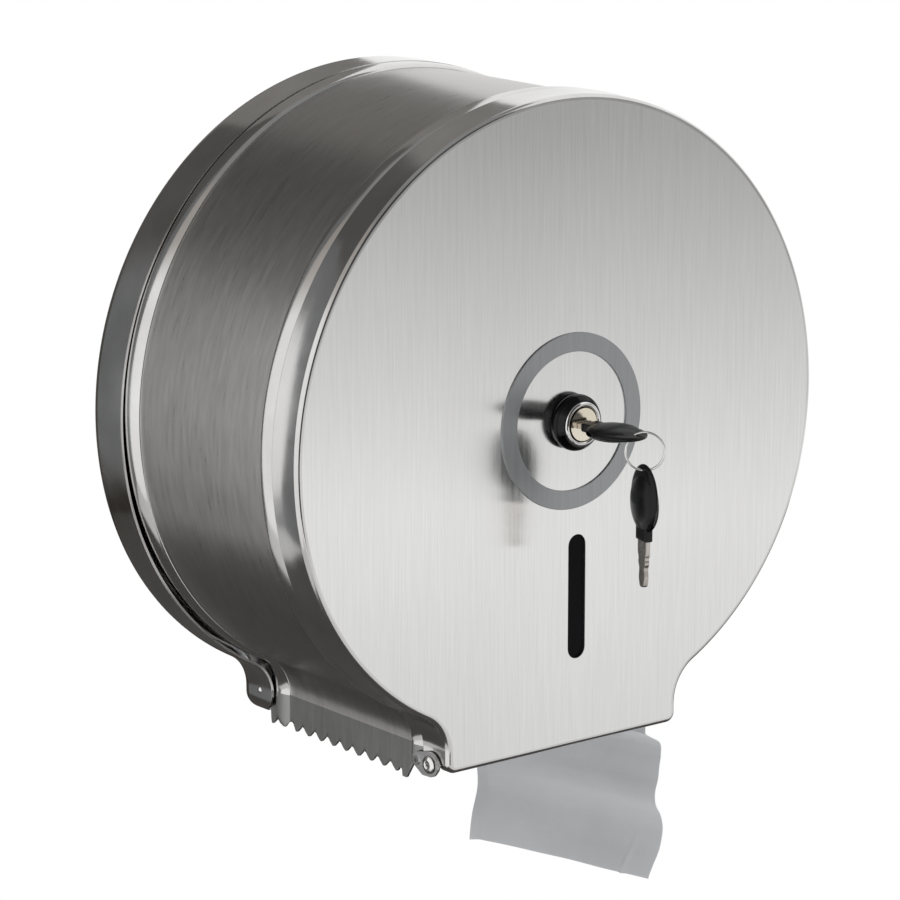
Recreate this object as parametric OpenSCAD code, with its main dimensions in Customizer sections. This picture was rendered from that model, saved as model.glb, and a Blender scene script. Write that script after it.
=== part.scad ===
// Jumbo toilet roll dispenser: a keyhole-shaped steel casing on a wall, a front cover
// that drops down on two hinge eyelets, a central cam lock with two keys, and a roll
// that turns on a fixed spindle and hangs its paper out of a toothed mouth.
//
// Sub-parts are drawn lying on their back: X right, Y up, Z out of the wall.
// stand() turns them upright, so the wall is the plane Y = 0 and the front faces -Y.
// The origin is on the wall, at the centre of the casing's round part.

/* [Casing outline] */
// Radius of the round part
rim_r = 130; // [126:1:138]
// Radius of the cheeks, the flatter arcs that lead down to the neck
cheek_r = 117; // [112:1:124]
// Where a cheek starts, in degrees from straight down
cheek_start = 75; // [70:1:80]
// Radius of the hollow between a cheek and the neck
neck_fillet = 18; // [14:1:22]
// Half the width of the neck
neck_half = 58.8; // [56:0.2:62]
// Drop of the neck's bottom edge below the origin
neck_drop = 130.4; // [129:0.2:134]

/* [Casing depth] */
// Depth of the closed casing, from the wall to the cover's face
casing_depth = 135; // [132:1:140]
// Thickness of every steel sheet
sheet = 1; // [0.8:0.1:1.2]
// Depth of the rear pan's skirt
rear_skirt = 22; // [20:1:24]
// Bend radius of the rear pan's edge
rear_bend = 6; // [4:0.5:6.5]
// Corner radius of the rear pan's foot
rear_corner = 6; // [6:0.5:8]
// How far the rear pan stands outside the casing's outline
pan_out = 1.6; // [1.5:0.1:2]
// How far the rear pan hangs below the rest of the casing
pan_low = 1.4; // [0.8:0.1:1.4]
// Depth of the cover's skirt
cover_skirt = 15; // [14:0.5:17]
// Bend radius of the cover's edge
cover_bend = 2; // [1.5:0.5:3]
// Corner radius of the cover's foot
cover_corner = 4.5; // [4.5:0.5:6]
// Height of the two beads above the drum wall
bead_h = 1.8; // [1.2:0.2:2.4]
// Width of a bead
bead_w = 8; // [7:0.5:9]

/* [Tear edge] */
// Drop of the tooth tips below the origin
tooth_drop = 136.7; // [135.5:0.1:138]
// Height off the wall of the first tooth on the drum wall
first_tooth = 33.9; // [33.5:0.1:34.5]
// Distance between tooth tips
tooth_pitch = 8.3; // [8:0.1:8.4]
// Depth of the gullets between the teeth
gullet_depth = 2.8; // [2.2:0.2:3.2]

/* [Cover hinge] */
// Height of the hinge axis, negative is below the origin
hinge_y = -127.5; // [-128:0.1:-126.5]
// Distance of the hinge axis in front of the cover's back edge
hinge_ahead = 5.3; // [5:0.1:6]
// Outer radius of a hinge eyelet's barrel
eyelet_r = 1.6; // [1.4:0.1:1.8]

/* [Lock, spindle and roll] */
// Sideways offset of the lock, spindle and roll from the origin
axis_x = 2.5; // [0:0.5:3]
// Upward offset of the lock, spindle and roll from the origin
axis_y = 2; // [0:0.5:3]
// Radius of the lock's plug
plug_r = 6.5; // [6.3:0.1:6.8]
// Outer radius of the spindle tube
spindle_r = 16; // [15:0.5:17]
// Inner radius of the roll's cardboard core
core_r = 30; // [28:0.5:32]
// Outer radius of the paper roll
roll_r = 100; // [90:1:102]
// Width of the paper
paper_w = 98; // [94:1:99]

/* [Sight slot] */
// Width of the slot
slot_w = 8.6; // [7:0.2:10]
// Length of the slot
slot_len = 50; // [40:1:60]
// Sideways place of the slot's centre
slot_x = 5.8; // [0:0.2:8]
// Height of the slot's centre, negative is below the origin
slot_y = -69; // [-75:1:-62]

/* [Wall holes] */
// Distance between the two columns of screw holes
hole_dx = 96; // [90:2:110]
// Distance between the two rows of screw holes
hole_dy = 100; // [90:2:110]
// Height of the pattern's centre
hole_y = 12; // [8:1:16]
// Radius of a screw hole
hole_r = 2.75; // [2.25:0.25:3.25]

/* [Keys] */
// Half the length of a key's bow
bow_a = 13.5; // [13:0.5:14]
// Half the width of a key's bow
bow_b = 10.5; // [10:0.5:12]
// Half the thickness of a key's bow
bow_h = 2.6; // [2.2:0.1:2.8]
// Length of a key's blade
blade_len = 22; // [20:1:24]
// Radius of the key ring's wire
wire_r = 0.45; // [0.35:0.05:0.5]

/* [Hidden] */
$fn = 96;

// Outline: centres of the cheek arcs and of the neck fillets, on the right-hand side
cheek_c = (rim_r - cheek_r) * [sin(cheek_start), -cos(cheek_start)];
fillet_x = neck_half + neck_fillet;
fillet_c = [
    fillet_x,
    cheek_c.y - sqrt(pow(cheek_r + neck_fillet, 2) - pow(fillet_x - cheek_c.x, 2))
];
// Where a cheek ends, in degrees from straight down
cheek_end = atan2(fillet_x - cheek_c.x, cheek_c.y - fillet_c.y);

// Distance between the sections of neighbouring sweeps
hair = 0.05;

// Depths, as heights off the wall
seam = 0.4;
cover_back = casing_depth - cover_skirt;
shell_back = rear_bend;
shell_front = cover_back - seam;
rear_bead = rear_skirt + seam;
cover_inside = casing_depth - sheet;

// Insets from the outline
tuck_inset = sheet + 0.2;
lip_inset = 3;
lip_len = 5.4;
wall_inset = bead_h + sheet;
crown_w = bead_w - 4.5;

// Hinge
hinge_z = cover_back + hinge_ahead;
ear_r = 4.2;
bracket_gap = 0.3;
bracket_x = neck_half + bracket_gap;
rivet_z = shell_front - 2.4;
foot_lip = 6;

// Bottom of the rear pan, the depth of its lip there, and the height off the wall up
// to which its corners close off the neck
rear_foot = -neck_drop - pan_out - pan_low;
rear_lip = 11.8;
tuck_clear = 16.9;

// The corner tooth's extra drop, and a line below every tooth
tooth_extra = 1.2;
tear_floor = -tooth_drop - 4;

// Spindle and lock, as heights off the wall
plate_top = 2.5;
keeper_z = 114;
keeper_t = 1.5;
cam_z = keeper_z - 3;
cam_t = 2;
hub_back = plate_top + 3.5;
hub_front = cam_z - 3;
barrel_end = 117;
barrel_r = 9.4;
bezel_top = casing_depth + 7;
plug_face = bezel_top + 0.6;
running = 0.05;
key_gap = 0.15;

// Keys: the bow's centre is ahead of the plug's face, and its hole is near the far end
bow_z = casing_depth + 27;
bow_rim_h = 1.2;
bow_hole = bow_a - 3.9;
bow_hole_r = 2.4;
collar_len = 3;
blade_w = 7;
blade_t = 2;
blade_root = bow_z - bow_a + 0.6;
// Direction of the key ring's plane, seen from above, in degrees from +X towards +Z
ring_turn = 38;
ring_r = 7.5;
ring_along = 4.6;
ring_drop = 5.3;
ring_c = [
    ring_along * cos(ring_turn),
    -ring_drop,
    bow_z + bow_hole + ring_along * sin(ring_turn)
];
spare_turn = 24;
// Height of the spare key's bow centre, hung by its hole from the ring's lowest wire
spare_y = ring_c.y - ring_r - 1.5 - bow_hole;

// Paper: each edge leaves the roll along a tangent, bends round the neck fillet and
// hangs straight down. The rear edge hangs further in than the front edge.
paper_t = 0.6;
paper_gap = 0.8;
paper_front_z = cover_back + seam;
paper_rear_z = paper_front_z - paper_w + 0.6;
front_bend_r = neck_fillet + wall_inset + paper_gap;
rear_bend_r = front_bend_r + 11.4;
web_end = -137.9;
tail_top = -138.5;
tail_front_drop = 62.2;
tail_rear_drop = 67.6;

module stand() {
    rotate([90, 0, 0]) children();
}

module at_axis() {
    translate([axis_x, axis_y, 0]) children();
}

module both_sides() {
    children();
    mirror([1, 0, 0]) children();
}

module tube(outer, inner, z0, z1) {
    translate([0, 0, z0])
        linear_extrude(z1 - z0)
            difference() {
                circle(outer);
                circle(inner);
            }
}

// Plate whose 2-D shape is drawn as (height off the wall, Y), from X = x outwards
module side_plate(x, thickness) {
    translate([x + thickness, 0, 0])
        rotate([0, -90, 0])
            linear_extrude(thickness) children();
}

// ---- The outline ----

// The keyhole outline, drawn in by an inset
module keyhole(inset, corner) {
    start_y = -rim_r * cos(cheek_start);
    end_x = cheek_c.x + (cheek_r - inset) * sin(cheek_end);
    end_y = cheek_c.y - (cheek_r - inset) * cos(cheek_end);
    half = neck_half - inset;
    foot = inset - neck_drop;
    corner_y = corner - neck_drop;
    // Round part
    intersection() {
        circle(rim_r - inset);
        translate([-rim_r, start_y]) square(2 * rim_r);
    }
    // Cheeks
    both_sides() intersection() {
        translate(cheek_c) circle(cheek_r - inset);
        translate([0, end_y]) square([rim_r, start_y - end_y]);
    }
    // Hollows
    difference() {
        translate([-end_x, fillet_c.y]) square([2 * end_x, end_y - fillet_c.y]);
        translate(fillet_c) circle(neck_fillet + inset);
        mirror([1, 0]) translate(fillet_c) circle(neck_fillet + inset);
    }
    // Neck and its foot
    translate([-half, corner_y]) square([2 * half, fillet_c.y - corner_y]);
    translate([corner - neck_half, foot])
        square([2 * (neck_half - corner), corner_y - foot]);
    for (side = [-1, 1])
        translate([side * (neck_half - corner), corner_y]) circle(corner - inset);
}

// Sweeps carry a 2-D section along the outline. The section's X is the inset from the
// outline and its Y is the height off the wall. Neighbouring sweeps run a little into
// each other, with their sections a hair apart so that no two faces coincide; lift is
// that distance along Z.
module sweep_round(lift) {
    lap = 0.4;
    rotate([0, 0, cheek_start - 90 - lap])
        rotate_extrude(angle = 360 - 2 * cheek_start + 2 * lap)
            translate([rim_r, 0]) mirror([1, 0]) children();
    both_sides()
        translate(cheek_c)
            rotate([0, 0, cheek_end - 90])
                rotate_extrude(angle = cheek_start - cheek_end)
                    translate([cheek_r - hair, lift]) mirror([1, 0]) children();
}

module sweep_hollows(lift) {
    lap = 2;
    both_sides()
        translate(fillet_c)
            rotate([0, 0, cheek_end + 90 - lap])
                rotate_extrude(angle = 90 - cheek_end + lap)
                    translate([neck_fillet + 2 * hair, 2 * lift]) children();
}

module sweep_neck(end_y, lift) {
    lap = 0.6;
    both_sides()
        translate([neck_half - hair, fillet_c.y + lap, lift])
            rotate([90, 0, 0])
                linear_extrude(fillet_c.y + lap - end_y)
                    mirror([1, 0]) children();
}

module sweep_corners(corner) {
    both_sides()
        translate([neck_half - corner, corner - neck_drop, 0])
            rotate([0, 0, -90])
                rotate_extrude(angle = 90)
                    translate([corner, 0]) mirror([1, 0]) children();
}

module sweep_foot(corner) {
    translate([corner - neck_half, -neck_drop, 0])
        rotate([90, 0, 90])
            linear_extrude(2 * (neck_half - corner)) children();
}

// ---- Sections ----

// A pan's edge: skirt, bend and the start of the flat, with the flat's outside at 0
module pan_section(skirt, bend, flat) {
    translate([0, bend]) square([sheet, skirt - bend]);
    translate([bend, 0]) square([flat - bend, sheet]);
    translate([bend, bend])
        intersection() {
            difference() {
                circle(bend);
                circle(bend - sheet);
            }
            translate([-bend, -bend]) square(bend);
        }
}

module cover_section(skirt) {
    translate([0, casing_depth])
        mirror([0, 1])
            pan_section(skirt, cover_bend, cover_bend + 1);
}

// A bead's shoulder from its crown, at from_z, down to the drum wall, at to_z
function shoulder(inset, from_z, to_z) = [
    for (turn = [0 : 15 : 90])
        [inset + bead_h * (1 - cos(turn)), from_z + (to_z - from_z) * sin(turn)]
];

function backwards(points) = [for (i = [len(points) - 1 : -1 : 0]) points[i]];

// The shell's sheet: tucked into the rear pan, a bead, the drum wall, a second bead,
// and on the round part a lip that reaches into the cover
module shell_section(with_lip) {
    rear_crown = rear_bead + crown_w;
    front_crown = shell_front - crown_w;
    rear_crease = rear_bead + bead_w;
    front_crease = shell_front - bead_w;
    edge = with_lip
        ? [
            [lip_inset, shell_front], [lip_inset, shell_front + lip_len],
            [lip_inset + sheet, shell_front + lip_len],
            [lip_inset + sheet, shell_front - sheet], [sheet, shell_front - sheet]
        ]
        : [[sheet, shell_front]];
    polygon(concat(
        [[tuck_inset, shell_back], [tuck_inset, rear_bead], [0, rear_bead]],
        shoulder(0, rear_crown, rear_crease),
        backwards(shoulder(0, front_crown, front_crease)),
        [[0, shell_front]],
        edge,
        shoulder(sheet, front_crown, front_crease + sheet),
        backwards(shoulder(sheet, rear_crown, rear_crease - sheet)),
        [
            [sheet, rear_bead + sheet], [tuck_inset + sheet, rear_bead + sheet],
            [tuck_inset + sheet, shell_back]
        ]
    ));
}

// ---- Housing ----

module rear_section(skirt) {
    translate([-pan_out, 0]) pan_section(skirt, rear_bend, rear_bend + 0.8);
}

// The region to cut away where the pan's skirt runs out round the corners of the neck
module rear_runout() {
    polygon([[rear_skirt + 0.2, rear_foot + 9.4], [rear_skirt - 1.5, rear_foot + 5.1],
        [rear_lip + 0.1, rear_foot + 0.3], [rear_lip + 0.1, rear_foot - 1],
        [rear_skirt + 1, rear_foot - 1], [rear_skirt + 1, rear_foot + 9.4]]);
}

module rear_pan() {
    color("silver") stand() difference() {
        translate([0, -pan_low, 0]) {
            sweep_round(hair) rear_section(rear_skirt);
            sweep_hollows(hair) rear_section(rear_skirt);
            sweep_neck(rear_corner - neck_drop - 0.6, hair) rear_section(rear_skirt);
            sweep_corners(rear_corner) rear_section(rear_skirt);
            sweep_foot(rear_corner) rear_section(rear_lip);
            linear_extrude(sheet) keyhole(rear_bend + 0.25 - pan_out, rear_corner);
        }
        side_plate(-neck_half - 4, 2 * neck_half + 8) rear_runout();
        for (x = [-hole_dx / 2, hole_dx / 2], y = [-hole_dy / 2, hole_dy / 2])
            translate([x, hole_y + y, -1]) cylinder(h = sheet + 2, r = hole_r);
        both_sides() pan_rivet_place() cylinder(h = 12, r = 1 + hair, center = true);
        at_axis() spindle_rivet_places() cylinder(h = 8, r = 1.6 + hair, center = true);
    }
}

// Cuts the gap between two teeth, each given as [height off the wall, drop, half width]
module gullet(from, to, top) {
    middle = (from.x + to.x) / 2;
    r = 0.23 * (to.x - from.x);
    translate([middle, top - r]) circle(r);
    polygon([[from.x + from.z, tear_floor], [from.x + from.z, -from.y],
        [middle - 0.9 * r, top - 0.63 * r], [middle + 0.9 * r, top - 0.63 * r],
        [to.x - to.z, -to.y], [to.x - to.z, tear_floor]]);
}

// The lower edge of the shell's neck, as the region to cut away: a clear step beside
// the rear pan's corner, the gullets of the tear edge, and a clear step at the hinge
module tear_edge_cut() {
    gullet_top = gullet_depth - tooth_drop;
    rear_step = tuck_clear + 0.3;
    tips = concat(
        [[rear_step + 1, tooth_drop, 0.4], [first_tooth - 6.2, tooth_drop - 0.9, 0.5]],
        [for (i = [0 : 8]) [first_tooth + i * tooth_pitch, tooth_drop, 0.5]]
    );
    corner_tooth = [first_tooth + 8 * tooth_pitch + 5.2, tooth_drop + tooth_extra, 1.3];
    polygon([[0, tear_floor], [0, 0.6 - neck_drop], [rear_step, 0.6 - neck_drop],
        [rear_step, 3.7 - tooth_drop], [rear_step + 0.6, -tooth_drop],
        [rear_step + 0.6, tear_floor]]);
    for (i = [0 : len(tips) - 1])
        translate([tips[i].x - 0.6, tear_floor]) square([1.2, -tips[i].y - tear_floor]);
    for (i = [0 : len(tips) - 2])
        gullet(tips[i], tips[i + 1], gullet_top + (i < 2 ? 0.5 : 0));
    gullet(tips[len(tips) - 1], corner_tooth, gullet_top - 0.9);
    polygon([[corner_tooth.x + 1.3, tear_floor], [corner_tooth.x + 1.3, -corner_tooth.y],
        [shell_front - 7.4, 0.6 - neck_drop], [shell_front - 6.4, 1.4 - neck_drop],
        [shell_front + 1, 1.4 - neck_drop], [shell_front + 1, tear_floor]]);
}

module body_shell() {
    color("lightgray") stand() difference() {
        union() {
            sweep_round(hair) shell_section(true);
            sweep_hollows(hair) shell_section(false);
            sweep_neck(-tooth_drop - tooth_extra, hair) shell_section(false);
        }
        side_plate(-neck_half - 2, 2 * neck_half + 4) tear_edge_cut();
        both_sides() pan_rivet_place() cylinder(h = 12, r = 1 + hair, center = true);
        both_sides() bracket_rivet_place() cylinder(h = 8, r = 1.2 + hair, center = true);
    }
}

// A rivet's place: its axis is Z, outwards, from the outer face of what it holds
module pan_rivet_place() {
    translate([neck_half + pan_out, -123.2, 13.4]) rotate([0, 90, 0]) children();
}

module bracket_rivet_place() {
    translate([neck_half, hinge_y, rivet_z]) rotate([0, 90, 0]) children();
}

// Rivets with a collar that fills the gap between the pan and the shell
module pan_rivets() {
    inner = pan_out + tuck_inset + sheet + 3 * hair;
    color("gainsboro") stand() both_sides() pan_rivet_place() {
        translate([0, 0, -inner]) cylinder(h = inner, r = 1);
        intersection() {
            translate([0, 0, -1.5]) sphere(2);
            cylinder(h = 2, r = 3);
        }
        translate([0, 0, 0.1 - pan_out - tuck_inset])
            cylinder(h = pan_out + tuck_inset - sheet - 0.3, r = 1.8);
        translate([0, 0, -inner - 0.5]) cylinder(h = 0.5, r = 1.6);
    }
}

// A rounded plate outside the neck, riveted to the shell's bead, with the hinge hole
module hinge_bracket() {
    difference() {
        union() {
            side_plate(bracket_x, sheet) hull() {
                translate([hinge_z, hinge_y]) circle(5, $fn = 32);
                translate([rivet_z, hinge_y + 0.3]) circle(3, $fn = 32);
                translate([hinge_z - 4, hinge_y - 3]) circle(2.2, $fn = 32);
            }
            bracket_rivet_place() cylinder(h = bracket_gap, r = 2.2);
        }
        bracket_rivet_place() cylinder(h = 8, r = 1.2 + hair, center = true);
        hinge_axis(neck_half - 2) cylinder(h = 6, r = eyelet_r + running);
    }
}

module hinge_axis(x) {
    translate([x, hinge_y, hinge_z]) rotate([0, 90, 0]) children();
}

module left_hinge_bracket() {
    color("silver") stand() mirror([1, 0, 0]) hinge_bracket();
}

module right_hinge_bracket() {
    color("silver") stand() hinge_bracket();
}

// Tubular rivets that hold the brackets
module bracket_rivets() {
    top = bracket_gap + sheet;
    inner = sheet + 2 * hair;
    color("gainsboro") stand() both_sides() bracket_rivet_place() {
        tube(1.2, 0.7, -inner, top);
        tube(2, 0.7, top, top + 0.5);
        tube(1.9, 0.7, -inner - 0.5, -inner);
    }
}

module spindle_rivet_places() {
    for (turn = [45 : 90 : 315])
        rotate([0, 0, turn]) translate([27, 0, 0]) children();
}

module spindle_plate() {
    color("darkgray") stand() at_axis() difference() {
        union() {
            tube(35, spindle_r + hair, sheet, plate_top);
            tube(spindle_r + 2.5, spindle_r + hair, plate_top, plate_top + 2.5);
        }
        spindle_rivet_places() cylinder(h = 8, r = 1.6 + hair, center = true);
    }
}

module spindle_tube() {
    color("silver") stand() at_axis() tube(spindle_r, spindle_r - 1.5, sheet, keeper_z);
}

module spindle_rivets() {
    color("gainsboro") stand() at_axis() spindle_rivet_places() {
        translate([0, 0, 0.1]) cylinder(h = plate_top, r = 1.6);
        translate([0, 0, plate_top]) cylinder(h = 1, r = 3);
    }
}

// Cap on the spindle's end, with the slot that the lock's cam passes through
module keeper_plate() {
    color("dimgray") stand() at_axis() translate([0, 0, keeper_z])
        linear_extrude(keeper_t)
            difference() {
                circle(spindle_r);
                circle(plug_r + 1.5);
                square([26, 10], center = true);
            }
}

// ---- Cover ----

module sight_slot(grow) {
    flat_len = slot_len - slot_w;
    translate([slot_x, slot_y]) {
        square([slot_w + 2 * grow, flat_len], center = true);
        for (end = [-0.5, 0.5])
            translate([0, end * flat_len]) circle(slot_w / 2 + grow);
    }
}

module cover_pan() {
    foot_y = cover_corner - neck_drop;
    color("silver") stand() difference() {
        union() {
            sweep_round(-hair) cover_section(cover_skirt);
            sweep_hollows(-hair) cover_section(cover_skirt);
            sweep_neck(foot_y - 0.6, -hair) cover_section(cover_skirt);
            sweep_corners(cover_corner) cover_section(foot_lip);
            sweep_foot(cover_corner) cover_section(foot_lip);
            translate([0, 0, cover_inside])
                linear_extrude(sheet) keyhole(cover_bend + 0.55, cover_corner);
            both_sides() side_plate(neck_half - sheet, sheet) {
                translate([hinge_z, hinge_y]) circle(ear_r);
                translate([hinge_z - ear_r, hinge_y]) square([2 * ear_r, 3]);
            }
        }
        translate([0, 0, cover_inside - 1]) linear_extrude(sheet + 2) sight_slot(0);
        at_axis() translate([0, 0, cover_inside - 1])
            cylinder(h = sheet + 2, r = barrel_r + running);
        both_sides() hinge_axis(neck_half - 3) cylinder(h = 6, r = eyelet_r + hair);
    }
}

// Hollow hinge pins, closed over the cover's ears and free in the brackets
module hinge_eyelets() {
    bore = eyelet_r - 0.6;
    head_x = bracket_x + sheet + 0.3;
    inner_x = neck_half - sheet - 2 * hair;
    color("gainsboro") stand() both_sides() {
        hinge_axis(inner_x) tube(eyelet_r, bore, 0, head_x - inner_x);
        hinge_axis(head_x) rotate_extrude()
            polygon([[bore, 0], [3.6, 0], [3.6, 0.4], [3.1, 0.8], [2, 0.9], [bore, 0.5]]);
        hinge_axis(inner_x - 0.6) tube(2.6, bore, 0, 0.6);
    }
}

module lock_escutcheon() {
    color("gray") stand() at_axis() tube(35, 27.5, casing_depth, casing_depth + 0.6);
}

module lock_housing() {
    bore = plug_r + running;
    groove = bezel_top - 0.8;
    color([0.1, 0.1, 0.11]) stand() at_axis() rotate_extrude()
        polygon([
            [bore, barrel_end], [barrel_r, barrel_end], [barrel_r, casing_depth],
            [10.4, casing_depth], [11.1, casing_depth + 1.4], [11.3, casing_depth + 3],
            [11, casing_depth + 4.6], [10.2, casing_depth + 6.2], [9, bezel_top],
            [8.9, bezel_top], [8.9, groove], [bore, groove]
        ]);
}

module lock_face_ring() {
    color("white") stand() at_axis() tube(8.9, 7, bezel_top - 0.8, bezel_top + 0.8);
}

module lock_washer() {
    color("silver") stand() at_axis()
        tube(12.8, barrel_r, cover_inside - 0.8, cover_inside);
}

module lock_nut() {
    color("silver") stand() at_axis() translate([0, 0, cover_inside - 4.8])
        linear_extrude(4)
            difference() {
                circle(13, $fn = 6);
                circle(barrel_r);
            }
}

module level_window() {
    color([0.08, 0.08, 0.09, 0.9]) stand()
        translate([slot_x, slot_y, cover_inside - 0.75])
            cube([slot_w + 8, slot_len + 8, 1.5], center = true);
}

// Tray welded behind the face, which holds the window against the slot
module window_retainer() {
    color("silver") stand() translate([slot_x, slot_y, cover_inside - 1.25])
        difference() {
            cube([slot_w + 11, slot_len + 11, 2.5], center = true);
            translate([0, 0, 0.9]) cube([slot_w + 8.2, slot_len + 8.2, 2.3], center = true);
            cube([slot_w + 3, slot_len + 2, 4], center = true);
        }
}

// ---- Lock ----

wafer_zs = [for (i = [0 : 3]) casing_depth - 7 + i * 3.4];

module lock_plug() {
    color("gold") stand() at_axis() difference() {
        union() {
            translate([0, 0, cam_z + cam_t]) cylinder(h = plug_face - cam_z - cam_t, r = plug_r);
            translate([-3, -3, cam_z]) cube([6, 6, cam_t]);
        }
        translate([-blade_w / 2 - key_gap, -blade_t / 2 - key_gap, blade_root - blade_len - 2])
            cube([blade_w + 2 * key_gap, blade_t + 2 * key_gap, 40]);
        for (z = wafer_zs)
            translate([0, 0, z]) cube([10.2, 6.2, 1.2], center = true);
        translate([0, 0, cam_z - 1]) cylinder(h = 7, r = 1.5);
    }
}

module lock_wafers() {
    color("goldenrod") stand() at_axis() for (z = wafer_zs)
        translate([0, 0, z]) difference() {
            cube([10, 6, 1], center = true);
            cube([blade_w + 0.6, blade_t + 0.6, 2], center = true);
        }
}

// T-bar that passes the keeper's slot when the key lies flat, and locks behind it
module lock_cam() {
    color("dimgray") stand() at_axis() translate([0, 0, cam_z])
        linear_extrude(cam_t)
            difference() {
                union() {
                    square([16, 8], center = true);
                    for (side = [-8, 8]) translate([side, 0]) circle(4);
                }
                square(6, center = true);
            }
}

module cam_screw() {
    color("silver") stand() at_axis() difference() {
        union() {
            translate([0, 0, cam_z]) cylinder(h = 5, r = 1.5);
            translate([0, 0, cam_z - 2]) cylinder(h = 2, r = 4.2);
        }
        translate([0, 0, cam_z - 2]) cube([10, 1, 1.6], center = true);
    }
}

// ---- Keys. Each is drawn flat in X and Z, with the bow's centre at the origin and
// the blade pointing to -Z. ----

module flat_bow() {
    difference() {
        union() {
            scale([bow_b / bow_a, 1, 1]) rotate([90, 0, 0])
                cylinder(h = 2 * bow_rim_h, r = bow_a, center = true);
            translate([0, 0, -2.1]) scale([bow_b - 0.7, bow_h, bow_a - 3]) sphere(1);
            translate([0, 0, -bow_a - collar_len / 2 + 1.5])
                cube([8.5, 3.4, collar_len + 3], center = true);
        }
        translate([0, 0, bow_hole]) rotate([90, 0, 0])
            cylinder(h = 10, r = bow_hole_r, center = true);
        // The blade's root is moulded into the bow
        translate([-blade_w / 2, -blade_t / 2, -bow_a - 10])
            cube([blade_w, blade_t, 10.6]);
    }
}

module flat_blade() {
    root = 0.6 - bow_a;
    tip = root - blade_len;
    translate([0, blade_t / 2, 0]) rotate([90, 0, 0])
        linear_extrude(blade_t)
            polygon([
                [-3.5, root], [-3.5, root - 9], [-2.6, root - 10.5], [-3.1, root - 12.5],
                [-1.9, root - 14.5], [-2.3, root - 17], [-2.2, root - 19], [-1.2, tip],
                [1.2, tip], [2.2, root - 19], [2.3, root - 17], [1.9, root - 14.5],
                [3.1, root - 12.5], [2.6, root - 10.5], [3.5, root - 9], [3.5, root]
            ]);
}

module in_lock() {
    at_axis() translate([0, 0, bow_z]) children();
}

// Hung from the ring with the blade down, and turned a little on the wire
module on_ring() {
    at_axis() translate([ring_c.x, spare_y, ring_c.z])
        rotate([0, spare_turn - ring_turn, 0])
            rotate([-90, 0, 0]) rotate([0, 0, 90]) children();
}

module key_bow() {
    color([0.05, 0.05, 0.06]) stand() in_lock() flat_bow();
}

module key_blade() {
    color("silver") stand() in_lock() flat_blade();
}

module key_ring() {
    color("silver") stand() at_axis() translate(ring_c) rotate([0, -ring_turn, 0])
        rotate_extrude() translate([ring_r, 0]) circle(wire_r, $fn = 24);
}

module spare_key_bow() {
    color([0.05, 0.05, 0.06]) stand() on_ring() flat_bow();
}

module spare_key_blade() {
    color("silver") stand() on_ring() flat_blade();
}

// ---- Roll ----

// Plastic sleeve inside the cardboard core, with a flange behind the core
module roll_hub() {
    flange_z = paper_rear_z - 2.6;
    color("whitesmoke") stand() at_axis() {
        tube(core_r, core_r - 1.8, hub_back, hub_front);
        tube(core_r + 7, core_r - 1, flange_z, flange_z + 2);
    }
}

// Ribbed bearing pressed into the sleeve, which turns on the spindle
module hub_bearing() {
    bore = spindle_r + running;
    rib_end = core_r - 1.8 - hair;
    color("whitesmoke") stand() at_axis() translate([0, 0, hub_back])
        linear_extrude(hub_front - hub_back) {
            difference() {
                circle(bore + 2);
                circle(bore);
            }
            for (turn = [0 : 90 : 270])
                rotate([0, 0, turn])
                    translate([bore + 1, -0.8]) square([rib_end - bore - 1, 1.6]);
        }
}

module roll_core() {
    color("burlywood") stand() at_axis()
        tube(core_r + 1.6, core_r, paper_front_z - paper_w, paper_front_z);
}

module paper_roll() {
    color("white") stand() at_axis()
        tube(roll_r, core_r + 1.6, paper_front_z - paper_w, paper_front_z);
}

// ---- Paper ----

// One edge of the web, from the roll to the mouth, as [x, y, z] points: the tangent
// from the roll touches a circle of radius bend_r round the neck fillet's centre
function web_edge(bend_r, z) =
    let (
        start_r = roll_r + 0.7,
        way = fillet_c - [axis_x, axis_y],
        lean = atan2(way.y, way.x) - asin((start_r + bend_r) / norm(way)) + 90
    )
    concat(
        [[axis_x + start_r * cos(lean), axis_y + start_r * sin(lean), z]],
        [
            for (step = [0 : 0.25 : 1])
                let (turn = 180 + lean * (1 - step))
                [fillet_c.x + bend_r * cos(turn), fillet_c.y + bend_r * sin(turn), z]
        ],
        [[fillet_c.x - bend_r, web_end, z]]
    );

// One edge of the tail, with its sideways waves, from the mouth down to the torn end
function tail_edge(bend_r, z, drop, waves) = [
    for (i = [0 : len(waves) - 1])
        [fillet_c.x - bend_r + waves[i], tail_top - drop * i / (len(waves) - 1), z]
];

// A thin closed sheet between two edges of equal point count, paper_t thick along X
module ruled_sheet(rear, front) {
    count = len(rear);
    half = [paper_t / 2, 0, 0];
    points = concat(
        [for (p = rear) p - half], [for (p = front) p - half],
        [for (p = rear) p + half], [for (p = front) p + half]
    );
    walls = [for (i = [0 : count - 2]) each [
        [i, i + count, i + count + 1], [i, i + count + 1, i + 1],
        [i + 2 * count, i + 2 * count + 1, i + 3 * count + 1],
        [i + 2 * count, i + 3 * count + 1, i + 3 * count],
        [i, i + 1, i + 2 * count + 1], [i, i + 2 * count + 1, i + 2 * count],
        [i + count, i + 3 * count, i + 3 * count + 1],
        [i + count, i + 3 * count + 1, i + count + 1]
    ]];
    ends = [
        [0, 2 * count, 3 * count], [0, 3 * count, count],
        [count - 1, 2 * count - 1, 4 * count - 1], [count - 1, 4 * count - 1, 3 * count - 1]
    ];
    polyhedron(points, concat(walls, ends));
}

module paper_web() {
    color("whitesmoke") stand()
        ruled_sheet(web_edge(rear_bend_r, paper_rear_z), web_edge(front_bend_r, paper_front_z));
}

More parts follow.
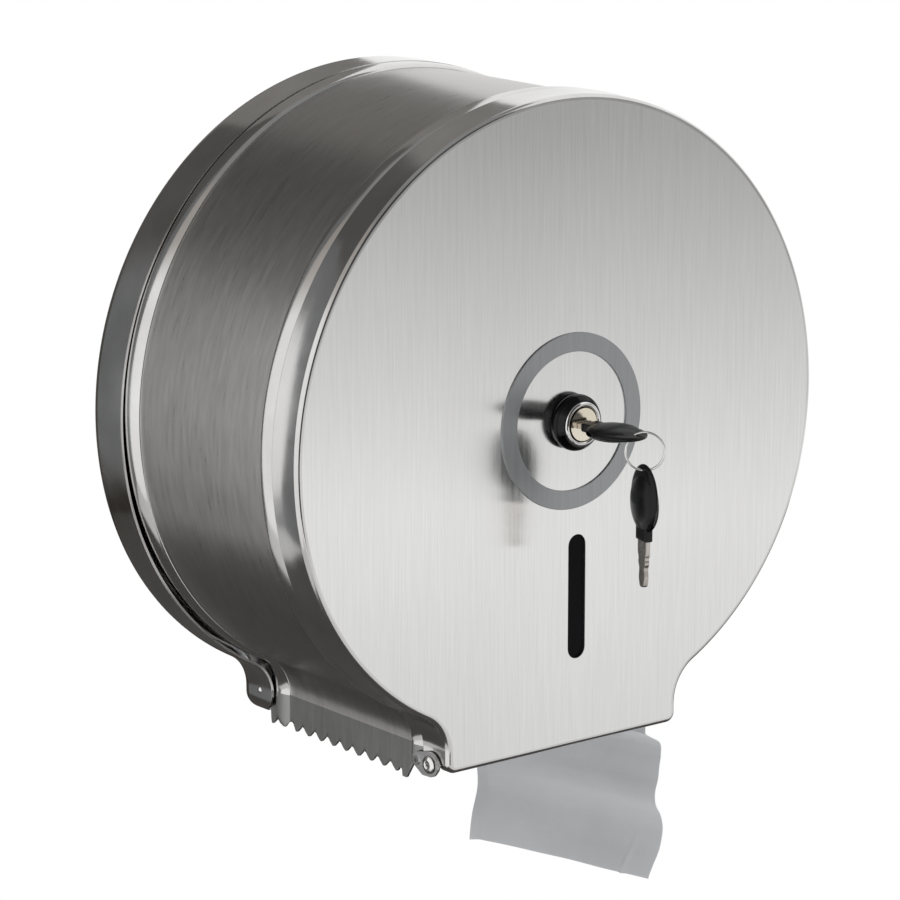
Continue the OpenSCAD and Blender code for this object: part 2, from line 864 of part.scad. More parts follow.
module paper_tail() {
    color("whitesmoke") stand()
        ruled_sheet(
            tail_edge(
                rear_bend_r, paper_rear_z, tail_rear_drop,
                [0, 0.8, 1.5, 1.9, 2.4, 0, -1.2]
            ),
            tail_edge(
                front_bend_r, paper_front_z, tail_front_drop,
                [0, 4.5, 6.4, 4.6, 8.4, 7.4, 1.2]
            )
        );
}

rear_pan();
body_shell();
pan_rivets();
left_hinge_bracket();
right_hinge_bracket();
bracket_rivets();
spindle_plate();
spindle_tube();
spindle_rivets();
keeper_plate();
paper_web();
cover_pan();
hinge_eyelets();
lock_escutcheon();
lock_housing();
lock_face_ring();
lock_washer();
lock_nut();
level_window();
window_retainer();
lock_plug();
lock_wafers();
lock_cam();
cam_screw();
key_bow();
key_blade();
key_ring();
spare_key_bow();
spare_key_blade();
roll_hub();
hub_bearing();
roll_core();
paper_roll();
paper_tail();
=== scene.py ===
import math

import bmesh
import bpy
from mathutils import Matrix, Vector


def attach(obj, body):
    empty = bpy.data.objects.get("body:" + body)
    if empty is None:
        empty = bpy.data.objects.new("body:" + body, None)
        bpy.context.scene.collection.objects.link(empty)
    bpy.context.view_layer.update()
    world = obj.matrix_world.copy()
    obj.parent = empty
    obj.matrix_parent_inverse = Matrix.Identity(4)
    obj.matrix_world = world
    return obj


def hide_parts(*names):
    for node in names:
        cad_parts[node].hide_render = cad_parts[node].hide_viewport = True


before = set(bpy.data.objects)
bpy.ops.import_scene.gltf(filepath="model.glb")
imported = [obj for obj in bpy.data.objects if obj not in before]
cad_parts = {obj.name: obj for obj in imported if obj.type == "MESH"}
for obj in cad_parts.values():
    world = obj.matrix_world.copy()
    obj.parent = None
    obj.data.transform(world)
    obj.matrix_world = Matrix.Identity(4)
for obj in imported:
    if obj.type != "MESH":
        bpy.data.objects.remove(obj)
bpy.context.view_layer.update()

# Everything is drawn in millimetres as it lies on its back: x to the right, y up the
# wall and z out of it. LAID turns a drawing up against the wall, in metres.
LAID = Matrix.Rotation(math.radians(90), 4, "X") @ Matrix.Scale(0.001, 4)

# ---------------------------------------------------------------- camera

AZIMUTH, ELEVATION, DISTANCE = math.radians(38.3), math.radians(12.43), 1667
LENS, SENSOR = 166.1, 36
MIDDLE_DEPTH = 60
AIM = LAID @ Vector((1.8, -23.2, MIDDLE_DEPTH))

camera = bpy.data.objects.new("camera", bpy.data.cameras.new("camera"))
bpy.context.collection.objects.link(camera)
camera.location = LAID @ Vector((
    -DISTANCE * math.sin(AZIMUTH) * math.cos(ELEVATION),
    DISTANCE * math.sin(ELEVATION),
    MIDDLE_DEPTH + DISTANCE * math.cos(AZIMUTH) * math.cos(ELEVATION),
))
camera.rotation_euler = (AIM - camera.location).to_track_quat("-Z", "Y").to_euler()
camera.data.lens, camera.data.sensor_width = LENS, SENSOR
camera.data.clip_start, camera.data.clip_end = 0.05, 20
bpy.context.scene.camera = camera

# ---------------------------------------------------------------- dimensions


def from_below(degrees):
    """Unit vector at an angle from straight down, turning towards the right."""
    a = math.radians(degrees)
    return Vector((math.sin(a), -math.cos(a), 0))


# The outline is a round of radius RIM, cheeks of radius CHEEK that start CHEEK_START degrees
# from straight down, hollows of radius HOLLOW, and neck walls at NECK that end at DROP.
RIM, CHEEK, CHEEK_START, HOLLOW, NECK, DROP = 130, 117, 75, 18, 58.8, 130.4
# Depths: the cover's face and its skirt's edge, and the drum's front and back ends.
DEPTH, COVER_BACK, SHELL_FRONT, REAR = 135, 120, 119.6, 22.4
# A bead stands BEAD proud of the drum's wall and ends CREASE from the drum's end. The crowns
# of the two beads end, and the front one's slope to the edge starts, this far from there.
BEAD, CREASE = 1.8, 8
BACK_CROWN, FRONT_SLOPE, FRONT_CROWN = 1.6, 3.6, 6.4
# The drum is drawn in by TUCK to go into the rear pan as far as depth TUCK_BACK, and its
# front edge leans in by FRONT_TUCK.
TUCK, TUCK_BACK, FRONT_TUCK = 1.2, 6, 1.3
# Every steel sheet is SHEET thick.
SHEET = 1
CHEEK_C = (RIM - CHEEK) * from_below(CHEEK_START)
HOLLOW_C = Vector((
    NECK + HOLLOW,
    CHEEK_C.y - math.sqrt((CHEEK + HOLLOW) ** 2 - (NECK + HOLLOW - CHEEK_C.x) ** 2),
    0,
))
CHEEK_END = math.degrees(math.atan2(HOLLOW_C.x - CHEEK_C.x, CHEEK_C.y - HOLLOW_C.y))
# The lock's middle on the cover's face, and the middle of the right-hand hinge.
LOCK = Vector((2.5, 2.0, DEPTH))
HINGE = Vector((NECK, -127.5, 125.3))
# The rear pan stands PAN_OUT outside the drum and hangs PAN_LOW below it. Its skirt is
# PAN_SKIRT deep and its foot PAN_LIP, and the cover's foot is COVER_LIP deep.
PAN_OUT, PAN_LOW, PAN_SKIRT, PAN_LIP, COVER_LIP = 1.6, 1.4, 22, 11.8, 6
# Four screw holes lie round a middle at the height SCREWS_MIDDLE. Holes have their radius.
SCREWS_X, SCREWS_Y, SCREWS_MIDDLE, SCREW_HOLE = 48, 50, 12, 2.75
SLOT_X, SLOT_Y, SLOT_WIDTH, SLOT_LENGTH = 5.8, -69, 8.6, 50
LOCK_HOLE = 9.45
# Teeth of the tear edge, each with its depth, how low it reaches and half its flat tip.
TIP, GULLET, FIRST_TOOTH, PITCH = 136.7, 2.8, 33.9, 8.3
TEETH = [(18.2, TIP, 0.4), (27.7, TIP - 0.9, 0.5)]
TEETH += [(FIRST_TOOTH + PITCH * k, TIP, 0.5) for k in range(9)] + [(105.5, TIP + 1.2, 1.3)]

# A section starts at one of these: a point of the outline and the way into the casing.
FOOT_MIDDLE = (Vector((0, -DROP, 0)), Vector((0, 1, 0)))
NECK_TOP = (Vector((NECK, HOLLOW_C.y, 0)), Vector((-1, 0, 0)))
CHEEK_FOOT = (CHEEK_C + CHEEK * from_below(CHEEK_END), -from_below(CHEEK_END))

# ---------------------------------------------------------------- drawing tools


def only(kind, geom):
    return [g for g in geom if isinstance(g, kind)]


def edges_of(elements):
    """The edges of some vertices or faces, each once and always in the same order."""
    return list(dict.fromkeys(
        e for g in elements
        for e in (g.link_edges if isinstance(g, bmesh.types.BMVert) else g.edges)))


def chain(bm, points, closed=False):
    """Joins points with straight edges, and gives the vertices."""
    verts = [bm.verts.new(p) for p in points]
    for pair in zip(verts, verts[1:] + verts[:1] if closed else verts[1:]):
        bm.edges.new(pair)
    return verts


def section(bm, start, steps):
    """A chain of (inset, depth) points in the plane of a section."""
    origin, inward = start
    return chain(bm, [origin + inward * i + Vector((0, 0, z)) for i, z in steps])


def soften(bm, verts, radius, steps):
    bmesh.ops.bevel(bm, geom=verts, offset=radius, offset_type="OFFSET", segments=steps,
                    profile=0.5, affect="VERTICES", material=-1, clamp_overlap=True)


def ease(bm, edges, width, steps=2):
    bmesh.ops.bevel(bm, geom=edges, offset=width, offset_type="OFFSET", segments=steps,
                    profile=0.5, affect="EDGES", material=-1, clamp_overlap=True)


def run(bm, geom, move):
    """Draws vertices or edges on along a straight line, and gives what they end in."""
    edges = only(bmesh.types.BMEdge, geom)
    if edges:
        new = bmesh.ops.extrude_edge_only(bm, edges=edges)["geom"]
    else:
        new = bmesh.ops.extrude_vert_indiv(bm, verts=geom)["verts"]
    verts = only(bmesh.types.BMVert, new)
    bmesh.ops.translate(bm, verts=verts, vec=move)
    fresh = set(verts)
    return verts + [e for e in only(bmesh.types.BMEdge, new) if set(e.verts) <= fresh]


def turn(bm, geom, centre, angle, steps, axis=(0, 0, 1)):
    """Draws vertices or edges round a centre, and gives what they end in."""
    return bmesh.ops.spin(bm, geom=geom, cent=centre, axis=axis, angle=math.radians(angle),
                          steps=steps)["geom_last"]


def both_sides(bm):
    """Mirrors the right-hand half to the left and closes the seams."""
    bmesh.ops.mirror(bm, geom=bm.verts[:] + bm.edges[:] + bm.faces[:], matrix=Matrix(),
                     merge_dist=0.001, axis="X")
    bmesh.ops.remove_doubles(bm, verts=bm.verts, dist=0.002)


def thicken(bm, rim):
    """Gives a skin its wall on the inner side, and eases the outer edge of its rims, apart
    from the rim where the drum and the neck are one sheet. rim is the width of the easing."""
    bmesh.ops.remove_doubles(bm, verts=bm.verts, dist=0.002)
    bmesh.ops.recalc_face_normals(bm, faces=bm.faces)
    border = [e for e in bm.edges if e.is_boundary
              and not all(abs(v.co.y - HOLLOW_C.y) < 0.01 for v in e.verts)]
    bmesh.ops.solidify(bm, geom=bm.faces[:], thickness=SHEET)
    ease(bm, [e for e in border if e.is_valid and e.calc_face_angle(0) > 1], rim)


def lathe(bm, points, centre, steps, radius, axis="z", stay=()):
    """Turns a closed section of (radius, height) round an axis. Its corners are rounded by
    the radius, apart from those numbered in stay."""
    have_v, have_e = set(bm.verts), set(bm.edges)
    across = Vector((1, 0, 0)) if axis == "z" else Vector((0, 1, 0))
    along = Vector((0, 0, 1)) if axis == "z" else Vector((1, 0, 0))
    verts = chain(bm, [centre + across * r + along * h for r, h in points], closed=True)
    soften(bm, [v for k, v in enumerate(verts) if k not in stay], radius, 3)
    geom = [v for v in bm.verts if v not in have_v] + [e for e in bm.edges if e not in have_e]
    bmesh.ops.spin(bm, geom=geom, cent=centre, axis=along, angle=2 * math.pi, steps=steps,
                   use_merge=True)
    bmesh.ops.remove_doubles(bm, verts=bm.verts, dist=0.0005)


def ring_of_edges(bm, centre, radius, steps):
    made = bmesh.ops.create_circle(bm, cap_ends=False, segments=steps, radius=radius,
                                   matrix=Matrix.Translation(centre))
    return edges_of(made["verts"])


def belt(bm, circles, steps=20):
    """Draws a belt round circles of (x, y, radius), taken anticlockwise."""
    loose = []
    for k, (x, y, r) in enumerate(circles):
        before, after = circles[k - 1], circles[(k + 1) % len(circles)]
        angles = []
        for (x0, y0, r0), (x1, y1, r1) in ((before, circles[k]), (circles[k], after)):
            way = Vector((x1 - x0, y1 - y0))
            angles.append(math.degrees(
                math.atan2(way.y, way.x) - math.acos((r0 - r1) / way.length)))
        first = bm.verts.new((x + r * math.cos(math.radians(angles[0])),
                              y + r * math.sin(math.radians(angles[0])), 0))
        last = turn(bm, [first], (x, y, 0), (angles[1] - angles[0]) % 360, steps)
        loose.append((first, only(bmesh.types.BMVert, last)[0]))
    for k, (first, last) in enumerate(loose):
        bm.edges.new((last, loose[(k + 1) % len(loose)][0]))


def axes(origin, x, y, z):
    """The matrix that lays a drawing's x, y and z along three ways, from an origin."""
    return Matrix((
        (x[0], y[0], z[0], origin[0]), (x[1], y[1], z[1], origin[1]),
        (x[2], y[2], z[2], origin[2]), (0, 0, 0, 1),
    ))


def as_object(name, bm):
    mesh = bpy.data.meshes.new(name)
    bm.to_mesh(mesh)
    bm.free()
    made = bpy.data.objects.new(name, mesh)
    bpy.context.collection.objects.link(made)
    return made


def piece(bm, name, body, coats, stands_for=(), crease=35):
    """Sets a drawing up on the wall as a finished piece that rides on its body."""
    bmesh.ops.recalc_face_normals(bm, faces=bm.faces)
    uv = bm.loops.layers.uv.get("UVMap") or bm.loops.layers.uv.new("UVMap")
    for f in bm.faces:
        f.smooth = abs(f.normal.z) < 0.99999
        for loop in f.loops:
            loop[uv].uv = (loop.vert.co.x / 1000, loop.vert.co.y / 1000)
    for e in bm.edges:
        e.smooth = len(e.link_faces) != 2 or e.calc_face_angle(0) < math.radians(crease)
    bmesh.ops.transform(bm, matrix=LAID, verts=bm.verts)
    made = as_object(name, bm)
    made.modifiers.new("even_shading", "WEIGHTED_NORMAL").keep_sharp = True
    for coat in coats:
        made.data.materials.append(coat)
    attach(made, body)
    if stands_for:
        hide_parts(*stands_for)
    return made


# ---------------------------------------------------------------- materials


def blank(name):
    coat = bpy.data.materials.new(name)
    coat.use_nodes = True
    tree = coat.node_tree
    return coat, tree, tree.nodes["Principled BSDF"]


def cloudy(tree, scale, detail, stretch=(1, 1, 1), roughness=0.5):
    """Noise on object coordinates, stretched along some of them."""
    where = tree.nodes.new("ShaderNodeTexCoord")
    place = tree.nodes.new("ShaderNodeMapping")
    place.inputs["Scale"].default_value = stretch
    tree.links.new(where.outputs["Object"], place.inputs["Vector"])
    made = tree.nodes.new("ShaderNodeTexNoise")
    made.inputs["Scale"].default_value = scale
    made.inputs["Detail"].default_value = detail
    made.inputs["Roughness"].default_value = roughness
    tree.links.new(place.outputs["Vector"], made.inputs["Vector"])
    return made.outputs["Fac"]


def spread(tree, source, low, high, a, b):
    """Maps low to high onto the numbers a to b."""
    made = tree.nodes.new("ShaderNodeMapRange")
    for entry, value in (("From Min", low), ("From Max", high), ("To Min", a), ("To Max", b)):
        made.inputs[entry].default_value = value
    tree.links.new(source, made.inputs["Value"])
    return made.outputs["Result"]


def shades(tree, source, stops):
    """Maps a number onto colours, given as (place, (r, g, b)) stops."""
    made = tree.nodes.new("ShaderNodeValToRGB")
    elements = made.color_ramp.elements
    while len(elements) < len(stops):
        elements.new(0.5)
    for element, (place, colour) in zip(elements, stops):
        element.position = place
        element.color = (*colour, 1)
    tree.links.new(source, made.inputs["Fac"])
    return made.outputs["Color"]


def add(tree, a, b, share):
    made = tree.nodes.new("ShaderNodeMath")
    made.operation = "MULTIPLY_ADD"
    made.inputs[1].default_value = share
    tree.links.new(b, made.inputs[0])
    tree.links.new(a, made.inputs[2])
    return made.outputs[0]


def relief(tree, source, shader, strength, distance):
    made = tree.nodes.new("ShaderNodeBump")
    made.inputs["Strength"].default_value = strength
    made.inputs["Distance"].default_value = distance
    tree.links.new(source, made.inputs["Height"])
    tree.links.new(made.outputs["Normal"], shader.inputs["Normal"])


def brushed(name, dark, light, rough, grain, depth, patch=7, smear=0.0, along="uv", swirl=0.0):
    """Brushed steel. grain is the stretch that makes noise into brush lines, and smear
    is how far reflections are drawn out across them."""
    coat, tree, shader = blank(name)
    shader.inputs["Metallic"].default_value = 1
    lines = cloudy(tree, 1, 7, grain, 0.7)
    patches = cloudy(tree, patch, 3)
    both = add(tree, lines, patches, 0.5)
    tree.links.new(shades(tree, both, ((0.45, dark), (1.05, light))), shader.inputs["Base Color"])
    tree.links.new(spread(tree, both, 0.4, 1.1, rough - 0.05, rough + 0.06),
                   shader.inputs["Roughness"])
    relief(tree, lines, shader, depth, 0.0001)
    if smear:
        tangent = tree.nodes.new("ShaderNodeTangent")
        if along == "uv":
            tangent.direction_type = "UV_MAP"
            tangent.uv_map = "UVMap"
        else:
            tangent.direction_type = "RADIAL"
            tangent.axis = along
        shader.inputs["Anisotropic"].default_value = smear
        shader.inputs["Anisotropic Rotation"].default_value = swirl
        tree.links.new(tangent.outputs["Tangent"], shader.inputs["Tangent"])
    return coat


def plated(name, dark, light, rough, scratch=0.05):
    """Polished or plated metal, with faint handling marks."""
    coat, tree, shader = blank(name)
    shader.inputs["Metallic"].default_value = 1
    marks = cloudy(tree, 35, 5)
    fine = cloudy(tree, 1, 4, (220, 700, 220))
    tree.links.new(shades(tree, marks, ((0.3, dark), (0.7, light))), shader.inputs["Base Color"])
    tree.links.new(spread(tree, marks, 0.3, 0.75, rough * 0.7, rough * 1.5),
                   shader.inputs["Roughness"])
    relief(tree, fine, shader, scratch, 0.00005)
    return coat


def moulded(name, dark, light, rough, grain=0.08, size=500, gloss=0.5):
    """Moulded plastic or board with a fine skin."""
    coat, tree, shader = blank(name)
    patches = cloudy(tree, 40, 4)
    tree.links.new(shades(tree, patches, ((0.3, dark), (0.7, light))), shader.inputs["Base Color"])
    tree.links.new(spread(tree, patches, 0.3, 0.7, rough * 0.8, rough * 1.25),
                   shader.inputs["Roughness"])
    shader.inputs["Specular IOR Level"].default_value = gloss
    relief(tree, cloudy(tree, size, 2), shader, grain, 0.0002)
    return coat


polished_rim = plated("polished_rim", (0.62, 0.61, 0.60), (0.76, 0.755, 0.75), 0.13)
brushed_drum = brushed("brushed_drum", (0.46, 0.45, 0.44), (0.60, 0.59, 0.58), 0.30,
                       (60, 500, 60), 0.04, smear=0.6, along="Y", swirl=0.25)
# The neck walls are the drum's own sheet. This darker copy of the drum's brushed steel paints the
# shade that falls on them.
brushed_neck_painted_shade = brushed("brushed_neck_painted_shade", (0.24, 0.24, 0.235), (0.33, 0.33, 0.325), 0.32,
                       (60, 500, 60), 0.06, smear=0.5, along="Y", swirl=0.25)
brushed_face = brushed("brushed_face", (0.75, 0.745, 0.735), (0.86, 0.86, 0.855), 0.15,
                       (1300, 24, 30), 0.08, patch=9, smear=0.75)
plain_steel = brushed("plain_steel", (0.50, 0.50, 0.50), (0.64, 0.64, 0.64), 0.30,
                      (60, 60, 300), 0.2)
satin_grey = brushed("satin_grey", (0.33, 0.34, 0.345), (0.43, 0.44, 0.445), 0.40,
                     (500, 20, 20), 0.15)
black_nickel = plated("black_nickel", (0.012, 0.012, 0.013), (0.035, 0.035, 0.036), 0.09)
bright_plate = plated("bright_plate", (0.78, 0.77, 0.76), (0.90, 0.89, 0.88), 0.10)
plug_brass = plated("plug_brass", (0.80, 0.72, 0.58), (0.92, 0.86, 0.74), 0.15)
key_steel = plated("key_steel", (0.46, 0.42, 0.38), (0.64, 0.60, 0.56), 0.22)
key_plastic = moulded("key_plastic", (0.004, 0.004, 0.004), (0.010, 0.010, 0.011), 0.22,
                      gloss=0.25)
hub_plastic = moulded("hub_plastic", (0.70, 0.70, 0.68), (0.80, 0.80, 0.78), 0.5, 0.15)
# The smoked window behind the slot is drawn near black with almost no gloss. This paints the shade
# inside the casing that shows through the slot.
window_painted_shade = moulded("smoked_acrylic", (0.002, 0.002, 0.002), (0.004, 0.004, 0.005), 0.25, 0.01,
                 gloss=0.05)
core_board = moulded("core_board", (0.42, 0.31, 0.21), (0.56, 0.44, 0.31), 0.85, 0.4, 300)


def tissue_coat(name):
    """Tissue: soft patches, felted fibres and crepe lines across the sheet."""
    coat, tree, shader = blank(name)
    patches = cloudy(tree, 22, 5)
    tree.links.new(
        shades(tree, patches, ((0.3, (0.70, 0.715, 0.735)), (0.75, (0.78, 0.795, 0.815)))),
        shader.inputs["Base Color"])
    shader.inputs["Roughness"].default_value = 0.9
    shader.inputs["Sheen Weight"].default_value = 0.12
    crepe = cloudy(tree, 1, 3, (160, 60, 2200))
    fibres = cloudy(tree, 1500, 5, (1, 1, 1), 0.7)
    relief(tree, add(tree, fibres, crepe, 0.6), shader, 0.3, 0.0003)
    return coat


def wound_coat(name):
    """The ends of the roll: fine rings of wound sheet round the spindle."""
    coat, tree, shader = blank(name)
    where = tree.nodes.new("ShaderNodeTexCoord")
    place = tree.nodes.new("ShaderNodeMapping")
    place.inputs["Location"].default_value = (-LOCK.x / 1000, 0, -LOCK.y / 1000)
    place.inputs["Scale"].default_value = (1, 0, 1)
    rings = tree.nodes.new("ShaderNodeTexWave")
    rings.wave_type = "RINGS"
    rings.rings_direction = "SPHERICAL"
    for entry, value in (("Scale", 190), ("Distortion", 1.4), ("Detail", 3)):
        rings.inputs[entry].default_value = value
    tree.links.new(where.outputs["Object"], place.inputs["Vector"])
    tree.links.new(place.outputs["Vector"], rings.inputs["Vector"])
    tree.links.new(
        shades(tree, rings.outputs["Fac"], ((0, (0.54, 0.55, 0.56)), (1, (0.68, 0.68, 0.68)))),
        shader.inputs["Base Color"])
    shader.inputs["Roughness"].default_value = 0.92
    relief(tree, rings.outputs["Fac"], shader, 0.5, 0.0004)
    return coat


tissue = tissue_coat("tissue")
wound = wound_coat("wound_tissue")

# ---------------------------------------------------------------- pressed pans


def over_the_foot(bm, geom, corner):
    """Draws a section from the middle of the foot round its corner and up the neck."""
    geom = run(bm, geom, (NECK - corner, 0, 0))
    geom = turn(bm, geom, (NECK - corner, corner - DROP, 0), 90, 12)
    return run(bm, geom, (0, HOLLOW_C.y + DROP - corner, 0))


def over_the_hollow(bm, geom):
    """Draws a section on from the neck's top round the hollow."""
    return turn(bm, geom, HOLLOW_C, CHEEK_END - 90, 28)


def over_the_round(bm, geom):
    """Draws a section on along the cheek and the round, to the middle of the top."""
    geom = turn(bm, geom, CHEEK_C, CHEEK_START - CHEEK_END, 36)
    return turn(bm, geom, (0, 0, 0), 180 - CHEEK_START, 84)


# Two slanting cuts end the rear pan's skirt at the neck. Each is given, in y and z, by a
# point of it as seen from the foot and the skirt's edge, and by the way to what it cuts off.
RUN_OUTS = ((9.4, 0.2), (-1.7, 4.3)), ((5.1, -1.5), (-8.7, 5.1))
# The share of its flare that a skirt is drawn in by.
DRAWN_IN = 0.7


def run_out(bm, corner, skirt_end):
    """Lets the rear pan's skirt run out round the corners of the neck."""
    foot = -DROP - PAN_OUT
    for (up, front), away in RUN_OUTS:
        beside = [f for f in bm.faces if all(v.co.y < HOLLOW_C.y + 0.01 for v in f.verts)
                  and all(abs(v.co.x) > NECK - corner - 0.01 for v in f.verts)]
        geom = beside + edges_of(beside)
        geom += list(dict.fromkeys(v for f in beside for v in f.verts))
        bmesh.ops.bisect_plane(bm, geom=geom, dist=0.001, clear_outer=True,
                               plane_co=(0, foot + up, skirt_end + front), plane_no=(0, *away))


def pressed_pan(corner, bend, skirt_end, foot_end, flat, openings, flat_coat, out=0, low=0,
                flare=0):
    """A skirt, a bend and a flat with openings, all one pressing. It can stand outside the
    casing's outline and hang lower, and then its skirt runs out round the corners. flare is
    how far the skirt's free edge flares out, and the rest is drawn in to leave room for it."""
    bm = bmesh.new()
    reach = out - DRAWN_IN * flare
    verts = section(bm, FOOT_MIDDLE, (
        (-flare - reach, skirt_end), (-flare / 3 - reach, (skirt_end + foot_end) / 2),
        (-reach, foot_end), (-reach, flat), (bend + 0.4 - reach, flat)))
    soften(bm, [verts[3]], bend, 12)
    geom = over_the_foot(bm, bm.verts[:] + bm.edges[:], corner)
    over_the_round(bm, over_the_hollow(bm, geom))
    both_sides(bm)
    level, side = (-DROP, NECK - corner) if out else (corner - DROP, NECK)
    near, far = sorted((skirt_end, foot_end))
    short = [f for f in bm.faces
             if all(v.co.y < level + 0.01 and near - 0.01 < v.co.z < far + 0.01
                    and abs(v.co.x) < side + 0.01 for v in f.verts)]
    bmesh.ops.delete(bm, geom=short, context="FACES")
    if out:
        run_out(bm, corner, skirt_end)
    bmesh.ops.translate(bm, verts=bm.verts, vec=(0, -low, 0))
    hem = [e for e in bm.edges if e.is_boundary and all(abs(v.co.z - flat) < 0.01 for v in e.verts)]
    for opening in openings:
        hem += opening(bm)
    for made in bmesh.ops.triangle_fill(bm, use_beauty=True, edges=hem, normal=(0, 0, 1))["geom"]:
        if isinstance(made, bmesh.types.BMFace):
            made.material_index = flat_coat
    thicken(bm, 0.22)
    return bm


def round_opening(x, y, z, radius, steps):
    return lambda bm: ring_of_edges(bm, (x, y, z), radius, steps)


def slot_opening(x, y, z, width, length):
    def draw(bm):
        half = (length - width) / 2
        have = set(bm.edges)
        first = bm.verts.new((x + width / 2, y + half, z))
        end = turn(bm, [first], (x, y + half, z), 180, 16)
        end = run(bm, only(bmesh.types.BMVert, end), (0, -2 * half, 0))
        end = turn(bm, end, (x, y - half, z), 180, 16)
        bm.edges.new((only(bmesh.types.BMVert, end)[0], first))
        return [e for e in bm.edges if e not in have]
    return draw


def rear_pan():
    """The pan that is screwed to the wall."""
    holes = [round_opening(x, SCREWS_MIDDLE + y, 0, SCREW_HOLE, 32)
             for x in (-SCREWS_X, SCREWS_X) for y in (-SCREWS_Y, SCREWS_Y)]
    bm = pressed_pan(corner=6, bend=6, skirt_end=PAN_SKIRT, foot_end=PAN_LIP, flat=0,
                     openings=holes, flat_coat=0, out=PAN_OUT, low=PAN_LOW)
    piece(bm, "rear_pan_pressing", "housing", [polished_rim], ["rear_pan"])


def cover_pan():
    """The cover, with the sight slot and the lock's hole in its face."""
    holes = [slot_opening(SLOT_X, SLOT_Y, DEPTH, SLOT_WIDTH, SLOT_LENGTH),
             round_opening(LOCK.x, LOCK.y, DEPTH, LOCK_HOLE, 64)]
    bm = pressed_pan(corner=4.5, bend=2, skirt_end=COVER_BACK, foot_end=DEPTH - COVER_LIP,
                     flat=DEPTH, openings=holes, flat_coat=1, flare=0.6)
    piece(bm, "cover_pressing", "cover", [polished_rim, brushed_face],
          ["cover_pan"])


def cover_ears():
    """The round ears at the cover's foot that its eyelets go through."""
    bm = bmesh.new()
    lathe(bm, ((1.6, 0), (4.2, 0), (4.2, 1), (1.6, 1)), HINGE - Vector((1, 0, 0)), 64, 0.15, "x")
    both_sides(bm)
    piece(bm, "cover_ears", "cover", [polished_rim])


rear_pan()
cover_pan()
cover_ears()

# ---------------------------------------------------------------- drum


def shoulder(bm, corner, reach, inward):
    """Rolls the sheet from the end of a bead's crown down into the drum's wall."""
    centre = corner.co + inward * BEAD
    have = set(bm.verts)
    axis = inward.cross(Vector((0, 0, 1 if reach > 0 else -1)))
    end = turn(bm, [corner], centre, 90, 14, -axis)
    fresh = [v for v in bm.verts if v not in have]
    bmesh.ops.scale(bm, vec=(1, 1, abs(reach) / BEAD), verts=fresh,
                    space=Matrix.Translation(-centre))
    return only(bmesh.types.BMVert, end)[0]


def drum_section(bm):
    """The drum's sheet: tucked into the rear pan, then a bead, the wall and a bead."""
    inward = NECK_TOP[1]
    back = section(bm, NECK_TOP, ((TUCK, TUCK_BACK), (TUCK, REAR), (0, REAR),
                                  (0, REAR + BACK_CROWN)))
    front = section(bm, NECK_TOP, ((FRONT_TUCK, SHELL_FRONT), (0, SHELL_FRONT - FRONT_SLOPE),
                                   (0, SHELL_FRONT - FRONT_CROWN)))
    ends = (shoulder(bm, back[3], CREASE - BACK_CROWN, inward),
            shoulder(bm, front[2], FRONT_CROWN - CREASE, inward))
    soften(bm, [back[2]], 0.35, 3)
    soften(bm, [front[1]], 2.7, 8)
    wall = bm.edges.new(ends)
    bmesh.ops.subdivide_edges(bm, edges=[wall], cuts=7)


def coat_the_wall(bm):
    """The beads are polished, and the wall between them is brushed."""
    for f in bm.faces:
        depth = f.calc_center_median().z
        f.material_index = int(REAR + CREASE < depth < SHELL_FRONT - CREASE)


def drum_sheet():
    """The drum from neck to neck."""
    bm = bmesh.new()
    drum_section(bm)
    over_the_round(bm, over_the_hollow(bm, bm.verts[:] + bm.edges[:]))
    both_sides(bm)
    coat_the_wall(bm)
    thicken(bm, 0.22)
    piece(bm, "drum_sheet", "housing", [polished_rim, brushed_drum],
          ["body_shell"])


def cover_lip():
    """The lip inside the drum's front that the cover closes over."""
    inset, step, front = 3, SHELL_FRONT - 0.1, 125
    bm = bmesh.new()
    section(bm, CHEEK_FOOT, ((0.95, step), (inset, step), (inset, front)))
    over_the_round(bm, bm.verts[:] + bm.edges[:])
    both_sides(bm)
    thicken(bm, 0.2)
    piece(bm, "cover_lip", "housing", [plain_steel])


# Behind the teeth the neck's lower edge is level at PLAIN_EDGE, and a step starts STEP_BACK
# behind the first tooth, STEP_UP above its tip. In front, a flank rises from the last tooth
# to FLANK_TOP at the depth FLANK_END.
PLAIN_EDGE, STEP_BACK, STEP_UP = 0.6 - DROP, 1, 3.7
FLANK_TOP, FLANK_END = 0.8 - DROP, SHELL_FRONT - 7.4
# The top of a gullet is an arc. Its radius is ROUND of the way between the two teeth, it
# reaches ARC of that radius to each side, and its ends lie SAG of the radius below its top.
ROUND, ARC, SAG = 0.23, 0.9, 0.564
# The first two gullets are cut higher than the others, and the last one less high.
HIGHER, LOWER = 0.5, 0.9


def cut_edge(z):
    """Height of the neck's lower edge at a depth: a step, the teeth, and a flank."""
    z0, drop0, flat0 = TEETH[0]
    if z < z0 - STEP_BACK:
        return PLAIN_EDGE
    if z < z0:
        return -drop0 + STEP_UP * max(0.0, z0 - flat0 - z) / (STEP_BACK - flat0)
    last = len(TEETH) - 2
    for k, ((z0, drop0, flat0), (z1, drop1, flat1)) in enumerate(zip(TEETH, TEETH[1:])):
        if z > z1:
            continue
        middle, r = (z0 + z1) / 2, ROUND * (z1 - z0)
        arc = ARC * r
        top = GULLET - TIP + (HIGHER if k < 2 else -LOWER if k == last else 0)
        if abs(z - middle) < arc:
            return top - r + math.sqrt(r * r - (z - middle) ** 2)
        drop, start, end = ((drop0, z0 + flat0, middle - arc) if z < middle
                            else (drop1, z1 - flat1, middle + arc))
        share = min(1, max(0, (z - start) / (end - start)))
        return -drop + (top - SAG * r + drop) * share
    z1, drop1, flat1 = TEETH[-1]
    share = min(1, max(0, (z - z1 - flat1) / (FLANK_END - z1 - flat1)))
    return -drop1 + (drop1 + FLANK_TOP) * share


